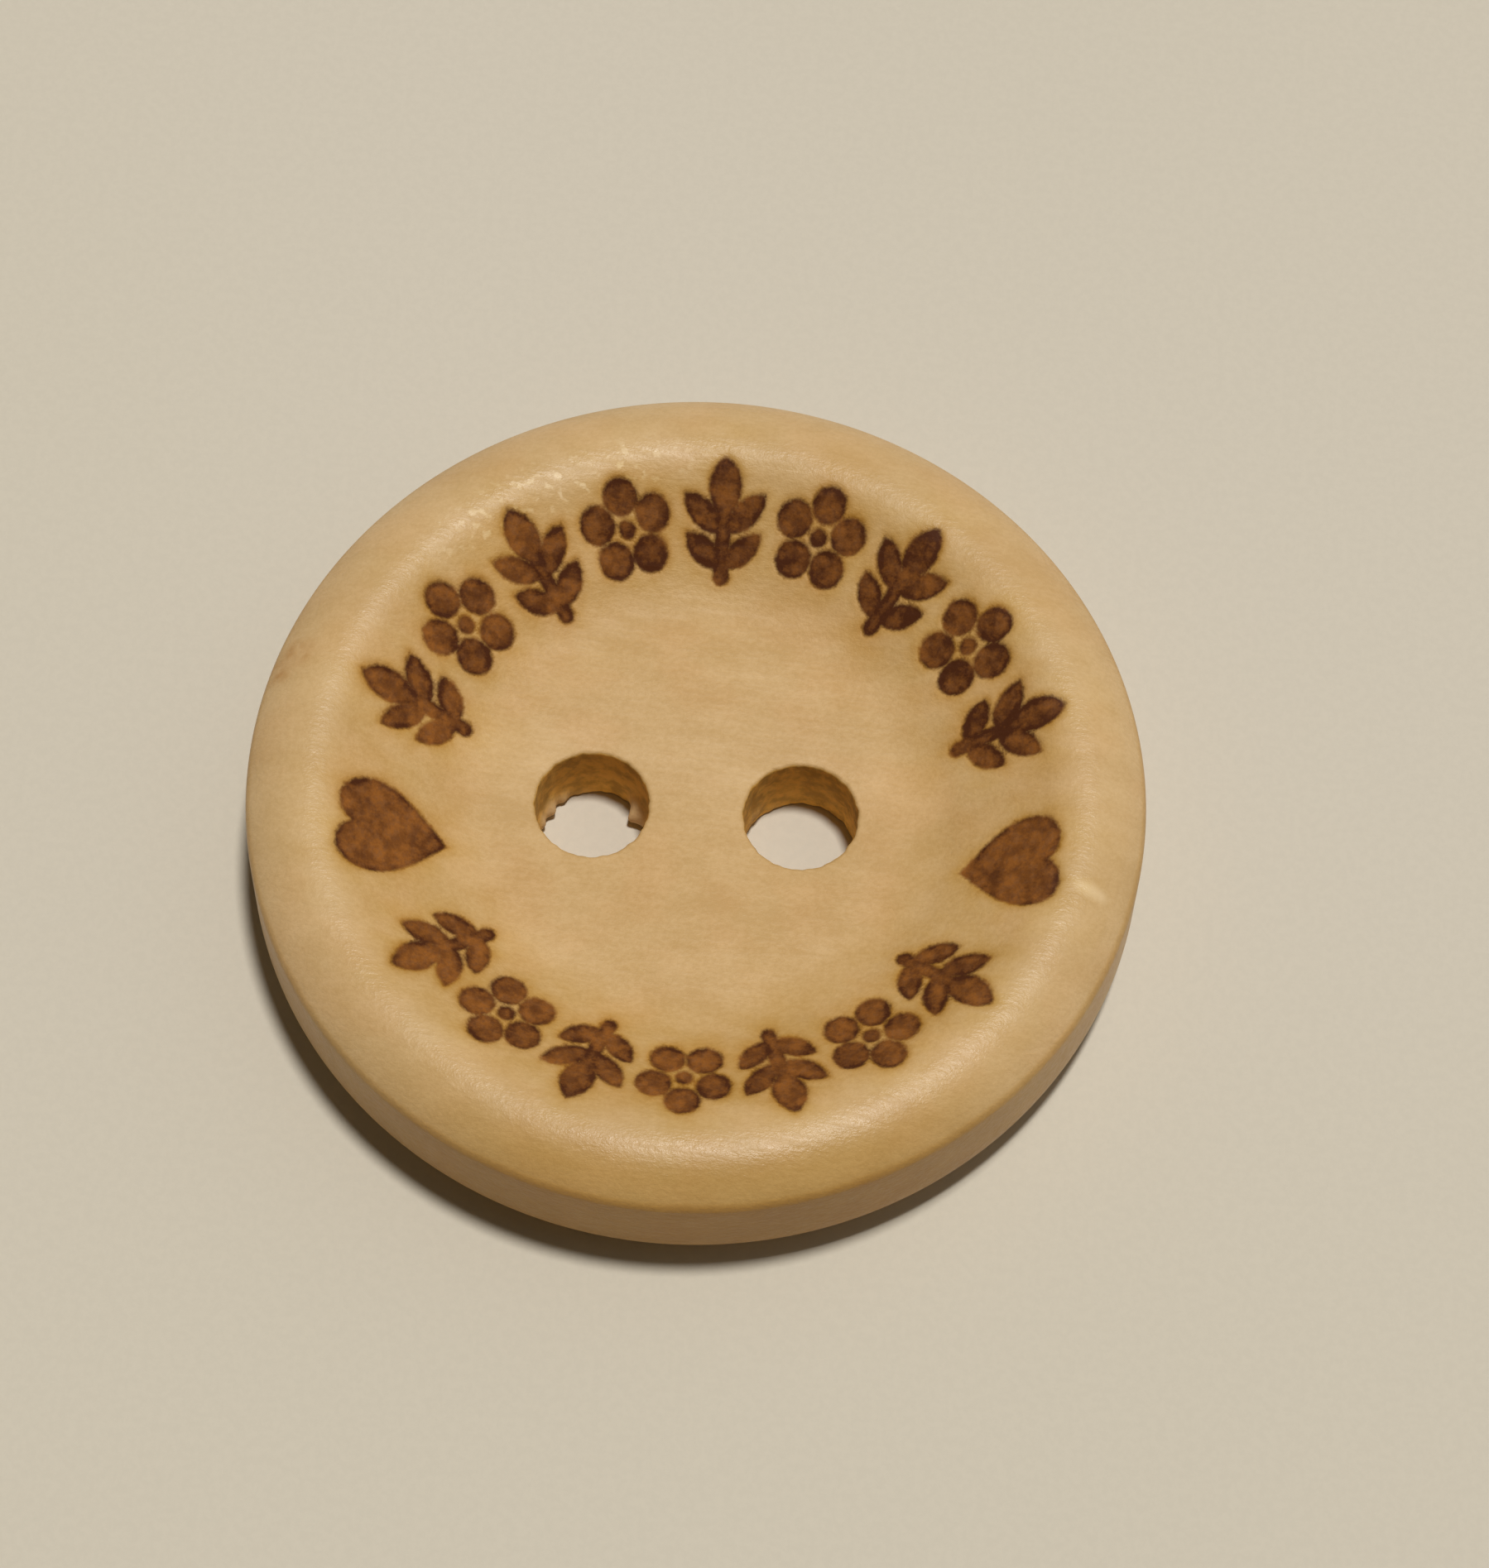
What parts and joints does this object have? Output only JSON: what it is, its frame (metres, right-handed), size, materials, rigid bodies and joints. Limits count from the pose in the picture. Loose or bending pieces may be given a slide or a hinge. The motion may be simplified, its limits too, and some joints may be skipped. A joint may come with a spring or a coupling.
{
  "type": "two-hole wooden button",
  "caption": "Round turned wooden sewing button with a deeply dished face, a rounded rim, a domed back and a pair of thread holes drilled through its middle.",
  "frame": {"origin": "middle of the small flat foot on the domed back, in the plane that the button rests on", "axes": "+Z out of the dished face along the turning axis, +X along the line of the two thread holes"},
  "size_m": [0.025, 0.025, 0.0047],
  "materials": {
    "turned_wood": "pale fine-grained hardwood, sanded and lightly waxed, with burnt brown ornament on the face"
  },
  "bodies": {
    "root": {"button": "turned_wood"}
  },
  "joints": []
}
